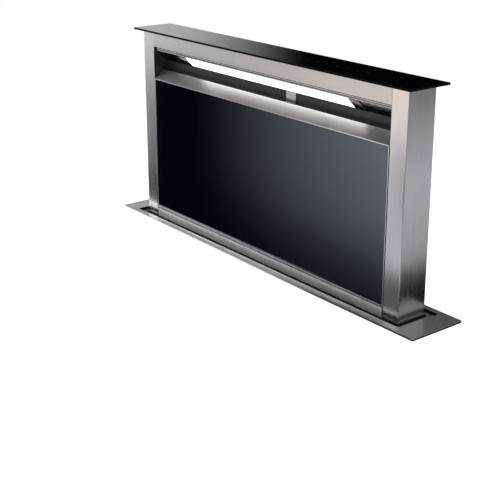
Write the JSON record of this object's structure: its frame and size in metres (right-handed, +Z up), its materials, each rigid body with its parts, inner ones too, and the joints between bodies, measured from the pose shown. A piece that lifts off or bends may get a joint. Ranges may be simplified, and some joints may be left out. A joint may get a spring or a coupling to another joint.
{
  "type": "downdraft vent",
  "caption": "Worktop downdraft vent: steel column with black glass door and top rises from a flange, over a casing with lift drive, side-outlet blower and control box.",
  "frame": {"origin": "centre of the worktop cut-out, on the worktop's surface, which is the flange's underside", "axes": "+X to the right of the cook, -Y towards the cook, +Z up, the way the column rises"},
  "size_m": [0.88, 0.2915, 1.094],
  "materials": {
    "brushed_steel": "long brushed grain, satin",
    "column_steel": "fine vertical brushed grain",
    "zinc_sheet": "galvanised sheet, faint spangle",
    "black_glass": "black-backed toughened glass, polished edges",
    "inner_steel": "plain bright sheet inside the column",
    "black_baffle": "matt black enamel",
    "diffuser": "opal, lit from behind",
    "lamp_glass": "white fluorescent tube",
    "white_plastic": "moulded",
    "black_plastic": "moulded, fine texture",
    "black_rubber": "soft seal",
    "grey_foam": "closed-cell strip",
    "filter_aluminium": "expanded mesh in a folded rim",
    "aluminium_rail": "extruded",
    "white_nylon": "machined nylon",
    "bright_steel": "zinc-plated, bright",
    "gear_steel": "oiled cut steel",
    "bronze_bush": "sintered bronze",
    "motor_paint": "black motor paint",
    "circuit_board": "green board, tinned joints"
  },
  "bodies": {
    "casing": {"worktop_flange": "brushed_steel", "flange_gasket": "grey_foam", "column_wiper": "black_rubber", "casing_front": "zinc_sheet", "casing_rear": "zinc_sheet", "casing_side_left": "zinc_sheet", "casing_side_right": "zinc_sheet", "casing_base": "zinc_sheet", "casing_screws": "bright_steel", "clamp_brackets": "zinc_sheet", "clamp_screws": "bright_steel", "guide_rails": "aluminium_rail", "lift_racks": "gear_steel", "limit_switches": "black_plastic", "blower_box": "zinc_sheet", "blower_scroll": "zinc_sheet", "inlet_ring": "black_plastic", "blower_motor": "motor_paint", "outlet_collar": "black_plastic", "damper_pin": "bright_steel", "control_box": "zinc_sheet", "control_cover": "zinc_sheet", "control_board": "circuit_board", "cable_gland": "black_plastic"},
    "column": {"pillar_left": "column_steel", "pillar_right": "column_steel", "fascia": "column_steel", "column_back": "column_steel", "column_cap": "inner_steel", "top_glass": "black_glass", "touch_module": "black_plastic", "lower_panel": "column_steel", "door_hinge_brackets": "inner_steel", "lamp_carrier": "column_steel", "lamp_diffuser": "diffuser", "diffuser_clips": "bright_steel", "lamp_tube": "lamp_glass", "lamp_holders": "white_plastic", "lamp_driver": "white_plastic", "chamber_cheeks": "inner_steel", "rear_baffle": "black_baffle", "centre_stay": "column_steel", "filter_frame": "inner_steel", "grease_filter_left": "filter_aluminium", "grease_filter_right": "filter_aluminium", "grease_tray": "column_steel", "shaft_bushes": "bronze_bush", "lift_gearmotor": "motor_paint", "guide_shoes": "white_nylon"},
    "door": {"door_panel": "column_steel", "door_glass": "black_glass", "door_hinge_pins": "bright_steel"},
    "lift_shaft": {"cross_shaft": "bright_steel", "drive_pinions": "gear_steel"},
    "filter_latch_left": {"filter_latch_left": "black_plastic"},
    "filter_latch_right": {"filter_latch_right": "black_plastic"},
    "blower_wheel": {"impeller": "black_plastic", "motor_shaft": "bright_steel"},
    "damper_front": {"damper_flap_front": "black_plastic"},
    "damper_rear": {"damper_flap_rear": "black_plastic"}
  },
  "joints": [
    {"name": "lift", "type": "slide", "parent": "casing", "child": "column", "axis": [0, 0, 1], "range_m": [-0.4, 0]},
    {"name": "shaft_turn", "type": "hinge", "parent": "column", "child": "lift_shaft", "pos_m": [0, 0.018, -0.165], "axis": [1, 0, 0], "range_deg": [-10, 1920]},
    {"name": "door_tilt", "type": "hinge", "parent": "column", "child": "door", "pos_m": [0, -0.028, 0.023], "axis": [1, 0, 0], "range_deg": [0, 70]},
    {"name": "latch_left_slide", "type": "slide", "parent": "column", "child": "filter_latch_left", "axis": [0, 0, -1], "range_m": [0, 0.006], "stiffness_N_per_m": 300, "springref_m": -0.001},
    {"name": "latch_right_slide", "type": "slide", "parent": "column", "child": "filter_latch_right", "axis": [0, 0, -1], "range_m": [0, 0.006], "stiffness_N_per_m": 300, "springref_m": -0.001},
    {"name": "wheel_spin", "type": "hinge", "parent": "casing", "child": "blower_wheel", "pos_m": [0.025, -0.135, -0.565], "axis": [0, 1, 0], "continuous": true},
    {"name": "damper_front_swing", "type": "hinge", "parent": "casing", "child": "damper_front", "pos_m": [-0.25, -0.1355, -0.441], "axis": [0, 0, -1], "range_deg": [0, 75]},
    {"name": "damper_rear_swing", "type": "hinge", "parent": "casing", "child": "damper_rear", "pos_m": [-0.25, -0.1355, -0.441], "axis": [0, 0, 1], "range_deg": [0, 75]}
  ],
  "couplings": [
    {"joint": "shaft_turn", "follows": "lift", "rad_per_m": -83.333}
  ]
}
